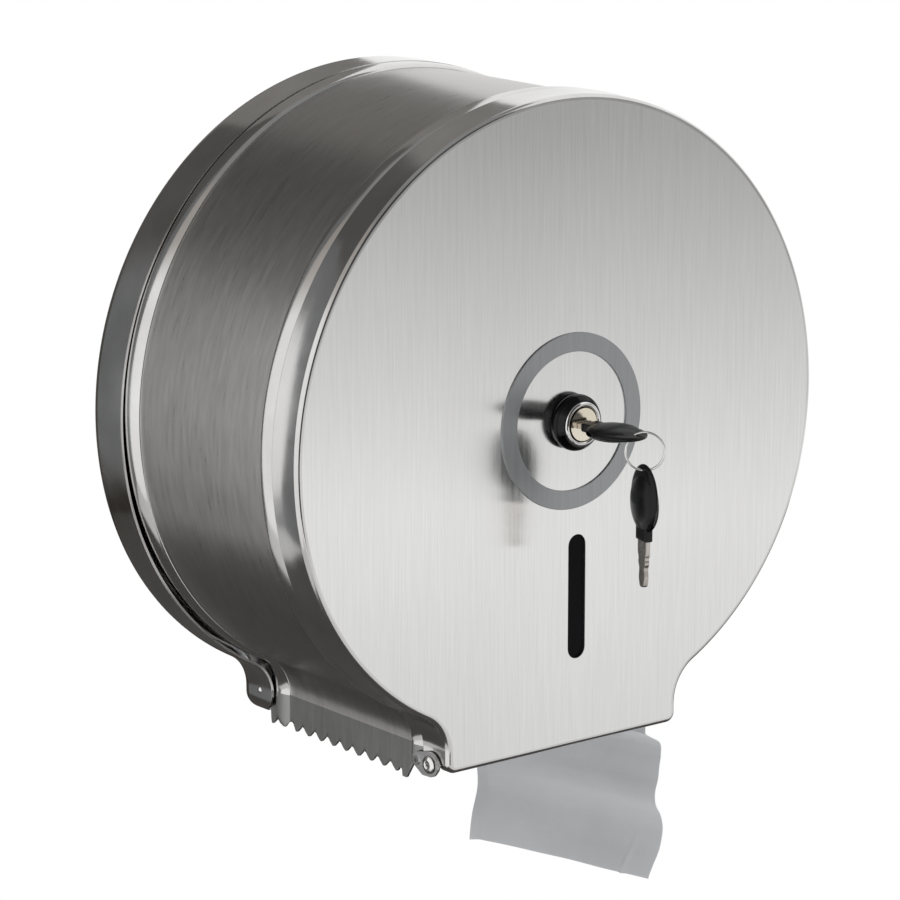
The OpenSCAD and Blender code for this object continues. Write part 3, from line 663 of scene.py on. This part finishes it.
def toothed_neck_walls(rows=6):
    """The drum's section drawn down to the tear edge, on both sides of the neck."""
    bm = bmesh.new()
    drum_section(bm)
    for e in bm.edges[:]:
        deep = abs(e.verts[0].co.z - e.verts[1].co.z)
        if deep > 0.3:
            bmesh.ops.subdivide_edges(bm, edges=[e], cuts=int(deep / 0.25))
    geom = bm.verts[:] + bm.edges[:]
    for _ in range(rows):
        geom = run(bm, geom, (0, -1, 0))
    for v in bm.verts:
        v.co.y = HOLLOW_C.y + (cut_edge(v.co.z) - HOLLOW_C.y) * (HOLLOW_C.y - v.co.y) / rows
    both_sides(bm)
    coat_the_wall(bm)
    thicken(bm, 0.16)
    # Both coats of the neck walls are the darker copy of the drum's steel, which paints the shade
    # on them.
    piece(bm, "toothed_neck_walls", "housing", [brushed_neck_painted_shade, brushed_neck_painted_shade])


drum_sheet()
cover_lip()
toothed_neck_walls()

# ---------------------------------------------------------------- hinge hardware

# The plates stand PLATE_GAP off the neck, each with a hole for an eyelet and one for a rivet.
RIVET_Z, PLATE_GAP = SHELL_FRONT - 2.4, 0.3
EYELET_HOLE, RIVET_HOLE = 1.65, 1.2


def hinge_plate(side, name):
    """One of the two plates that the cover hangs on; side is -1 at the left."""
    bm = bmesh.new()
    belt(bm, ((HINGE.z, HINGE.y, 5), (RIVET_Z, HINGE.y + 0.3, 3), (HINGE.z - 4, HINGE.y - 3, 2.2)))
    ring_of_edges(bm, (HINGE.z, HINGE.y, 0), EYELET_HOLE, 32)
    ring_of_edges(bm, (RIVET_Z, HINGE.y, 0), RIVET_HOLE, 24)
    plate = bmesh.ops.triangle_fill(bm, use_beauty=True, edges=bm.edges[:], normal=(0, 0, 1))
    made = bmesh.ops.extrude_face_region(bm, geom=only(bmesh.types.BMFace, plate["geom"]))["geom"]
    top = only(bmesh.types.BMVert, made)
    bmesh.ops.translate(bm, verts=top, vec=(0, 0, SHEET))
    bmesh.ops.recalc_face_normals(bm, faces=bm.faces)
    ease(bm, [e for e in bm.edges if all(v in top for v in e.verts)
              and len(e.link_faces) == 2 and e.calc_face_angle(0) > 1], 0.28, 3)
    place = axes((side * (NECK + PLATE_GAP), 0, 0), (0, 0, 1), (0, 1, 0), (side, 0, 0))
    bmesh.ops.transform(bm, matrix=place, verts=bm.verts)
    piece(bm, name + "_hinge_plate", "housing", [plain_steel],
          [name + "_hinge_bracket"])


def hinge_eyelets():
    """The hollow pins, rolled over at both ends."""
    bm = bmesh.new()
    lathe(bm, ((1.0, -0.6), (2.6, -0.6), (2.6, 0), (1.6, 0), (1.6, 2.5), (3.3, 2.5), (3.6, 2.9),
               (3.1, 3.3), (1.9, 3.6), (1.3, 3.5), (1.0, 3.0)),
          HINGE - Vector((1, 0, 0)), 48, 0.14, "x", stay=(3, 4))
    both_sides(bm)
    piece(bm, "rolled_hinge_eyelets", "cover", [bright_plate],
          ["hinge_eyelets"])


hinge_plate(-1, "left")
hinge_plate(1, "right")
hinge_eyelets()

# ---------------------------------------------------------------- lock

# Each is a section of (radius, height over the cover's face) turned round the lock.
BACKPLATE = (27.5, 0), (35, 0), (35, 0.6), (27.5, 0.6)
BEZEL = ((6.55, -18), (9.4, -18), (9.4, 0), (10.6, 0), (11.3, 2.9), (10.9, 5.0), (9.3, 6.9),
         (8.9, 6.9), (8.9, 6.2), (6.55, 6.2))
FRONT_RING = (7, 6.2), (8.85, 6.2), (8.85, 7.2), (7.9, 7.8), (7, 7.3)

for profile, steps, radius, stay, names, coat in (
        (BACKPLATE, 160, 0.2, (0, 1),
         ("lock_backplate_ring", "satin_ring", "lock_escutcheon"), satin_grey),
        (BEZEL, 128, 0.9, (0, 1, 2, 6, 7, 8, 9),
         ("lock_barrel_bezel", "black_nickel", "lock_housing"), black_nickel),
        (FRONT_RING, 128, 0.3, (0, 1),
         ("lock_front_ring", "bright_plate", "lock_face_ring"), bright_plate)):
    bm = bmesh.new()
    lathe(bm, profile, LOCK, steps, radius, stay=stay)
    piece(bm, names[0], "cover", [coat], [names[2]])

# ---------------------------------------------------------------- parts kept as they are

for node, coat in {
    "pan_rivets": bright_plate, "bracket_rivets": bright_plate, "spindle_rivets": bright_plate,
    "spindle_plate": plain_steel, "spindle_tube": plain_steel, "keeper_plate": plain_steel,
    "lock_washer": plain_steel, "lock_nut": plain_steel, "window_retainer": plain_steel,
    # The sight window's near-black skin paints the shade inside the casing.
    "level_window": window_painted_shade, "lock_wafers": plug_brass, "lock_plug": plug_brass,
    "lock_cam": plain_steel, "cam_screw": bright_plate,
    "roll_hub": hub_plastic, "hub_bearing": hub_plastic, "roll_core": core_board,
}.items():
    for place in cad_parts[node].material_slots:
        place.material = coat

# ---------------------------------------------------------------- keys

# A key is drawn flat about its bow's middle: x across, y along it towards the ring, and z
# through it. The eye for the ring is EYE from the middle, and the bow of the key in the
# lock has its middle BOW_Z out of the wall. The belly's middle lies BELLY_LOW nearer to the
# blade than the bow's. BLADE is the blade's thickness.
BOW_X, BOW_Y, BOW_Z = 10.5, 13.5, 162
BOW_RIM, BOW_BELLY, BELLY_LOW = 1.2, 3.1, 1.9
COLLAR_WIDTH, COLLAR_LENGTH, COLLAR_THICKNESS = 8.5, 6, 3.4
EYE, EYE_R, BLADE = 9.6, 2.4, 2
RING_R, WIRE_R = 7.5, 0.45


def bow_height(x, y):
    """Half the bow's thickness: a thin rim with a fat belly on it."""
    rho = math.hypot(x / BOW_X, y / BOW_Y)
    rim = BOW_RIM * math.sqrt(max(0.0, 1 - rho ** 10))
    belly = 1 - (x / (BOW_X - 0.2)) ** 2 - ((y + BELLY_LOW) / (BOW_Y - 2.1)) ** 2
    return max(rim, BOW_BELLY * max(0.0, belly) ** 0.42)


def key_bow(place):
    """A pillow with an eye near its far end, and a collar where the blade goes in."""
    bm = bmesh.new()
    edges = ring_of_edges(bm, (0, 0, 0), 1, 96)
    bmesh.ops.scale(bm, vec=(BOW_X, BOW_Y, 1), verts=bm.verts)
    geom, size = bm.verts[:] + edges, 1
    for smaller in (0.994, 0.982, 0.965, 0.94, 0.91):
        geom = run(bm, geom, (0, 0, 0))
        bmesh.ops.scale(bm, vec=(smaller / size, smaller / size, 1),
                        verts=only(bmesh.types.BMVert, geom))
        size = smaller
    eye = ring_of_edges(bm, (0, EYE, 0), EYE_R, 96)
    web = bmesh.ops.bridge_loops(bm, edges=only(bmesh.types.BMEdge, geom) + eye)["edges"]
    bmesh.ops.subdivide_edgering(bm, edges=web, interp_mode="LINEAR", cuts=15)
    for v in bm.verts:
        v.co.z = bow_height(v.co.x, v.co.y)
    lip = [e for e in bm.edges if e.is_boundary
           and all(math.hypot(v.co.x, v.co.y - EYE) < EYE_R + 0.1 for v in e.verts)]
    for v in only(bmesh.types.BMVert, run(bm, lip, (0, 0, 0))):
        v.co.z = 0
    bmesh.ops.mirror(bm, geom=bm.verts[:] + bm.edges[:] + bm.faces[:], matrix=Matrix(),
                     merge_dist=0.001, axis="Z")
    bmesh.ops.remove_doubles(bm, verts=bm.verts, dist=0.003)
    block = Matrix.Diagonal((COLLAR_WIDTH, COLLAR_LENGTH, COLLAR_THICKNESS, 1))
    collar = bmesh.ops.create_cube(bm, size=1, matrix=Matrix.Translation((0, -BOW_Y, 0)) @ block)
    ease(bm, edges_of(collar["verts"]), 0.7, 3)
    bmesh.ops.transform(bm, matrix=place, verts=bm.verts)
    return bm


def key_blade(place):
    """A flat blade with a waist and a rounded tip."""
    bm = bmesh.new()
    root = 0.6 - BOW_Y
    half = ((3.5, 0), (3.5, -8.6), (2.6, -10.6), (3.05, -12.4), (1.95, -14.4), (2.45, -18.4),
            (1.5, -22))
    outline = [Vector((x, root + y, -BLADE / 2)) for x, y in half]
    outline += [Vector((-p.x, p.y, p.z)) for p in reversed(outline)]
    verts = chain(bm, outline, closed=True)
    soften(bm, verts[1:-1], 1.1, 4)
    face = bmesh.ops.contextual_create(bm, geom=bm.edges[:])["faces"]
    top = bmesh.ops.extrude_face_region(bm, geom=face)["geom"]
    bmesh.ops.translate(bm, verts=only(bmesh.types.BMVert, top), vec=(0, 0, BLADE))
    bmesh.ops.recalc_face_normals(bm, faces=bm.faces)
    ease(bm, [e for e in bm.edges if e.calc_face_angle(0) > 1.3], 0.25, 2)
    bmesh.ops.transform(bm, matrix=place, verts=bm.verts)
    return bm


# The ring lies in a plane turned TURN from the wall, and the spare key hangs across it. The
# ring's middle is RING_ALONG that plane and RING_BELOW down from the eye of the key in the
# lock, and the eye of the spare key is SPARE_BELOW the ring's middle.
TURN = math.radians(38)
HANG = math.radians(24) - TURN
RING_ALONG, RING_BELOW, SPARE_BELOW = 4.6, 5.3, 9
RING_C = Vector((LOCK.x + RING_ALONG * math.cos(TURN), LOCK.y - RING_BELOW,
                 BOW_Z + EYE + RING_ALONG * math.sin(TURN)))
in_lock = axes((LOCK.x, LOCK.y, BOW_Z), (1, 0, 0), (0, 0, 1), (0, 1, 0))
on_ring = axes((RING_C.x, RING_C.y - SPARE_BELOW - EYE, RING_C.z),
               (-math.sin(HANG), 0, -math.cos(HANG)), (0, 1, 0),
               (-math.cos(HANG), 0, math.sin(HANG)))

piece(key_bow(in_lock), "key_grip", "lock_key", [key_plastic], ["key_bow"], 50)
piece(key_blade(in_lock), "key_shank", "lock_key", [key_steel], ["key_blade"])
piece(key_bow(on_ring), "spare_key_grip", "spare_key", [key_plastic],
      ["spare_key_bow"], 50)
piece(key_blade(on_ring), "spare_key_shank", "spare_key", [key_steel],
      ["spare_key_blade"])


def key_ring():
    """A closed wire ring."""
    bm = bmesh.new()
    bmesh.ops.create_circle(bm, segments=20, radius=WIRE_R,
                            matrix=Matrix.Translation((RING_R, 0, 0))
                            @ Matrix.Rotation(math.radians(90), 4, "X"))
    bmesh.ops.spin(bm, geom=bm.verts[:] + bm.edges[:], cent=(0, 0, 0), axis=(0, 0, 1),
                   angle=2 * math.pi, steps=96, use_merge=True)
    across, out = (math.cos(TURN), 0, math.sin(TURN)), (-math.sin(TURN), 0, math.cos(TURN))
    bmesh.ops.transform(bm, verts=bm.verts, matrix=axes(RING_C, across, (0, 1, 0), out))
    piece(bm, "key_ring_wire", "ring", [bright_plate], ["key_ring"])


key_ring()

# ---------------------------------------------------------------- roll and paper

CORE_R, ROLL_R, ROLL_BACK = 31.6, 100, 22.4
PAPER_BACK, PAPER_FRONT = 23.0, 120.4
# The sheet's front and rear edges bend round the right-hand hollow at these radii.
FRONT_BEND = HOLLOW + BEAD + SHEET + 0.8
REAR_BEND = FRONT_BEND + 11.4
# Below the mouth each edge hangs down by its drop, and waves to the right by these amounts.
MOUTH, FRONT_DROP, REAR_DROP = -138.0, 62.7, 68.0
# Shares of the sheet's width and length: the turned edge, the fold's place and half its
# width, and how far down the fold starts.
TURNED_EDGE, FOLD_AT, FOLD_HALF, FOLD_FROM = 0.032, 0.885, 0.012, 0.72
REAR_WAVES = (0, 0.8, 1.5, 1.9, 2.4, 0, -1.2)
FRONT_WAVES = (0, 7.7, 8.4, 7.5, 6.8, 5.4, 5.9, 8.9, 10.4, 10.0, 8.4, 5.3, 2.6)


def wound_roll():
    """A full roll of wound tissue, without its core."""
    bm = bmesh.new()
    lathe(bm, ((CORE_R, ROLL_BACK), (ROLL_R, ROLL_BACK), (ROLL_R, PAPER_FRONT),
               (CORE_R, PAPER_FRONT)), Vector((LOCK.x, LOCK.y, 0)), 192, 0.8, stay=(0, 3))
    piece(bm, "wound_roll", "roll", [wound], ["paper_roll"])


def wave(values, t):
    """A smooth curve through evenly spaced values, at t from 0 to 1."""
    padded = (values[0], *values, values[-1])
    count = len(values) - 1
    k = min(int(t * count), count - 1)
    f = t * count - k
    a, b, c, d = padded[k:k + 4]
    return 0.5 * (2 * b + (c - a) * f + (2 * a - 5 * b + 4 * c - d) * f ** 2
                  + (3 * b - a - 3 * c + d) * f ** 3)


def sheet_of(across, down, place):
    """A grid of paper, each point put where place(s, t) says, and given its thickness."""
    bm = bmesh.new()
    bmesh.ops.create_grid(bm, x_segments=across, y_segments=down, size=0.5)
    for v in bm.verts:
        v.co = place(v.co.x + 0.5, 0.5 - v.co.y)
    bmesh.ops.recalc_face_normals(bm, faces=bm.faces)
    bmesh.ops.solidify(bm, geom=bm.faces[:], thickness=0.24)
    return bm


def hanging(s, t):
    """s runs from the rear edge to the front one, and t from the mouth to the cut end. The
    rear edge is turned over, the sheet ripples, and it has a fold low at its front."""
    free = min(1, t * 4)
    rear = HOLLOW_C.x - REAR_BEND + wave(REAR_WAVES, t)
    front = HOLLOW_C.x - FRONT_BEND + wave(FRONT_WAVES, t)
    x = rear + (front - rear) * s
    turned = max(0.0, TURNED_EDGE - s) / TURNED_EDGE
    x += free * (2.3 * (1 - turned) * (1 - s) - 0.4 * turned ** 2)
    x += free * (0.35 * math.sin(7 * s + 5 * t) + 0.2 * math.sin(17 * s - 9 * t + 1))
    fold = math.exp(-((s - FOLD_AT + 0.03 * t) / FOLD_HALF) ** 2)
    x -= 0.9 * fold * max(0.0, min(1, (t - FOLD_FROM) * 8))
    drop = REAR_DROP + (FRONT_DROP - REAR_DROP) * s - 0.2 * math.sin(math.pi * s)
    return Vector((x, MOUTH - drop * t, PAPER_BACK + (PAPER_FRONT - PAPER_BACK) * s))


wound_roll()
tail = piece(sheet_of(130, 84, hanging), "hanging_sheet", "tail", [tissue],
             ["paper_tail"])


def web_rail(bend):
    """One edge of the web: off the roll, round the neck's hollow and down to the mouth."""
    axis, off_roll = Vector((LOCK.x, LOCK.y, 0)), ROLL_R + 0.7
    way = HOLLOW_C - axis
    lean = math.atan2(way.y, way.x) - math.asin((off_roll + bend) / way.length) + math.pi / 2
    start = axis + off_roll * Vector((math.cos(lean), math.sin(lean), 0))
    curve = [HOLLOW_C + bend * Vector((math.cos(a), math.sin(a), 0))
             for a in (math.pi + lean * (1 - k / 24) for k in range(25))]
    end = Vector((HOLLOW_C.x - bend, MOUTH + 0.1, 0))
    leads = [start.lerp(curve[0], k / 4) for k in range(4)]
    return leads + curve + [curve[-1].lerp(end, k / 4) for k in range(1, 5)]


rear_rail, front_rail = web_rail(REAR_BEND), web_rail(FRONT_BEND)


def inside(s, t):
    """s runs from the rear edge to the front one, and t from the roll to the mouth."""
    k = round(t * (len(rear_rail) - 1))
    p = rear_rail[k].lerp(front_rail[k], s)
    return Vector((p.x, p.y, PAPER_BACK + (PAPER_FRONT - PAPER_BACK) * s))


web = piece(sheet_of(24, len(rear_rail) - 1, inside), "casing_sheet", "housing",
            [tissue], ["paper_web"])

# ---------------------------------------------------------------- stage and light

# The stage is placed in metres, in the frame's own axes.
FLOOR_R, FLOOR_Z = 1.7, -0.85


def pale_floor():
    bm = bmesh.new()
    bmesh.ops.create_circle(bm, cap_ends=True, segments=96, radius=FLOOR_R,
                            matrix=Matrix.Translation((0, 0, FLOOR_Z)))
    floor = as_object("floor", bm)
    coat, _, shader = blank("pale_floor")
    shader.inputs["Base Color"].default_value = (0.88, 0.88, 0.88, 1)
    shader.inputs["Roughness"].default_value = 0.8
    floor.data.materials.append(coat)


def studio_world():
    """Soft grey light all round, and a white background."""
    world = bpy.data.worlds.new("studio")
    bpy.context.scene.world = world
    world.use_nodes = True
    tree = world.node_tree
    room = tree.nodes["Background"]
    room.inputs["Color"].default_value = (0.6, 0.6, 0.6, 1)
    seen = tree.nodes.new("ShaderNodeBackground")
    seen.inputs["Color"].default_value = (1, 1, 1, 1)
    path = tree.nodes.new("ShaderNodeLightPath")
    shown = path.outputs["Is Camera Ray"]
    for kind in ("Is Transmission Ray", "Is Glossy Ray"):
        either = tree.nodes.new("ShaderNodeMath")
        either.operation = "MAXIMUM"
        tree.links.new(shown, either.inputs[0])
        tree.links.new(path.outputs[kind], either.inputs[1])
        shown = either.outputs[0]
    pick = tree.nodes.new("ShaderNodeMixShader")
    for source, socket in zip((shown, room.outputs[0], seen.outputs[0]), pick.inputs):
        tree.links.new(source, socket)
    tree.links.new(pick.outputs[0], tree.nodes["World Output"].inputs[0])


pale_floor()
studio_world()


def card(name, centre, normal, size, stops, along="X"):
    """A studio card that only shows in bright metal. stops are its greys along one way."""
    bm = bmesh.new()
    facing = Vector(normal).to_track_quat("Z", "Y").to_matrix().to_4x4()
    bmesh.ops.create_grid(bm, x_segments=1, y_segments=1, size=0.5,
                          matrix=Matrix.Diagonal((size[0], size[1], 1, 1)))
    made = as_object(name, bm)
    made.matrix_world = Matrix.Translation(centre) @ facing
    coat, tree, shader = blank(name + "_grey")
    shader.inputs["Base Color"].default_value = (0, 0, 0, 1)
    shader.inputs["Specular IOR Level"].default_value = 0
    shader.inputs["Roughness"].default_value = 1
    shader.inputs["Emission Strength"].default_value = 1
    where = tree.nodes.new("ShaderNodeTexCoord")
    split = tree.nodes.new("ShaderNodeSeparateXYZ")
    tree.links.new(where.outputs["Object"], split.inputs[0])
    reach = size[0 if along == "X" else 1] / 2
    share = spread(tree, split.outputs[along], -reach, reach, 0, 1)
    tree.links.new(shades(tree, share, stops), shader.inputs["Emission Color"])
    made.data.materials.append(coat)
    for kind in ("camera", "diffuse", "transmission", "volume_scatter", "shadow"):
        setattr(made, "visible_" + kind, False)


def grey(place, level, warm=0.0):
    """A stop for a card: a grey, or a brown where warm is above 0."""
    return place, (level * (1 + warm), level, level * (1 - warm))


def even(level, warm=0.0):
    return grey(0, level, warm), grey(1, level, warm)


BACK_WALL, FRONT_WALL, LEFT_WALL, CEILING, TABLE = 1.2, -2.2, -1.3, 2.4, -0.55
TO_FRONT, TO_BACK = (0, -1, 0), (0, 1, 0)

# The room that the metal shows: a brown wall behind it that is grey at its left end, a
# bright wall to its left that dims towards its top, a dark front with the light to its
# right, a grey ceiling and a brown table. The card to the front right is dimmer at its top.
card("wall_behind", (-0.35, BACK_WALL, 0), TO_FRONT, (0.9, 5), (
    grey(0.0, 0.02, 0.2), grey(0.33, 0.02, 0.2), grey(0.42, 0.07, 0.08), grey(0.66, 0.09, 0.05),
    grey(1.0, 0.11, 0.05)), "Y")
card("wall_far_end", (0.5, BACK_WALL, 0), TO_FRONT, (0.8, 5), (
    grey(0.0, 0.02, 0.2), grey(0.33, 0.02, 0.2), grey(0.45, 0.10, 0.05), grey(0.66, 0.22, 0.04),
    grey(1.0, 0.24, 0.04)), "Y")
card("wall_end", (-1.05, BACK_WALL, 0), TO_FRONT, (0.5, 5), (
    grey(0.0, 0.17, -0.02), grey(1.0, 0.18, -0.02)))
card("left_wall", (LEFT_WALL, -0.5, 0), (1, 0, 0), (3.4, 5), (
    grey(0.0, 0.9), grey(0.30, 1.0), grey(0.64, 1.0), grey(0.72, 0.46, 0.06),
    grey(1.0, 0.30, 0.08)), "Y")
card("ceiling", (-0.2, -0.5, CEILING), (0, 0, -1), (3, 3.4), even(0.28))
card("table", (0.45, 0.11, TABLE), (0, 0, 1), (2.0, 1.42), even(0.07, 0.06))
card("front_high", (0.1, FRONT_WALL, 1.6), TO_BACK, (2.8, 1.7), even(0.05))
card("front_low", (-0.45, FRONT_WALL, -0.1), TO_BACK, (1.7, 1.7), even(0.04))
card("front_right_card", (0.48, -0.75, -0.17), (-0.605, 0.766, 0.215), (1.5, 1.4), (
    grey(0.0, 0.72), grey(0.34, 0.76), grey(0.46, 0.92), grey(0.62, 0.42), grey(1.0, 0.32)), "Y")


def softbox(name, place, aim, size, power):
    light = bpy.data.objects.new(name, bpy.data.lights.new(name, "AREA"))
    bpy.context.collection.objects.link(light)
    light.data.shape = "RECTANGLE"
    light.data.size, light.data.size_y = size
    light.data.energy = power
    light.location = place
    light.rotation_euler = (Vector(aim) - light.location).to_track_quat("-Z", "Y").to_euler()
    light.visible_glossy = False


softbox("front_right_box", (1.7, -2.3, -0.1), (0, 0, 0), (2.6, 2.6), 30)
softbox("top_box", (-0.2, -0.5, 2.2), (0, -0.06, 0), (1.6, 1.0), 10)

bpy.context.scene.view_settings.view_transform = "Standard"
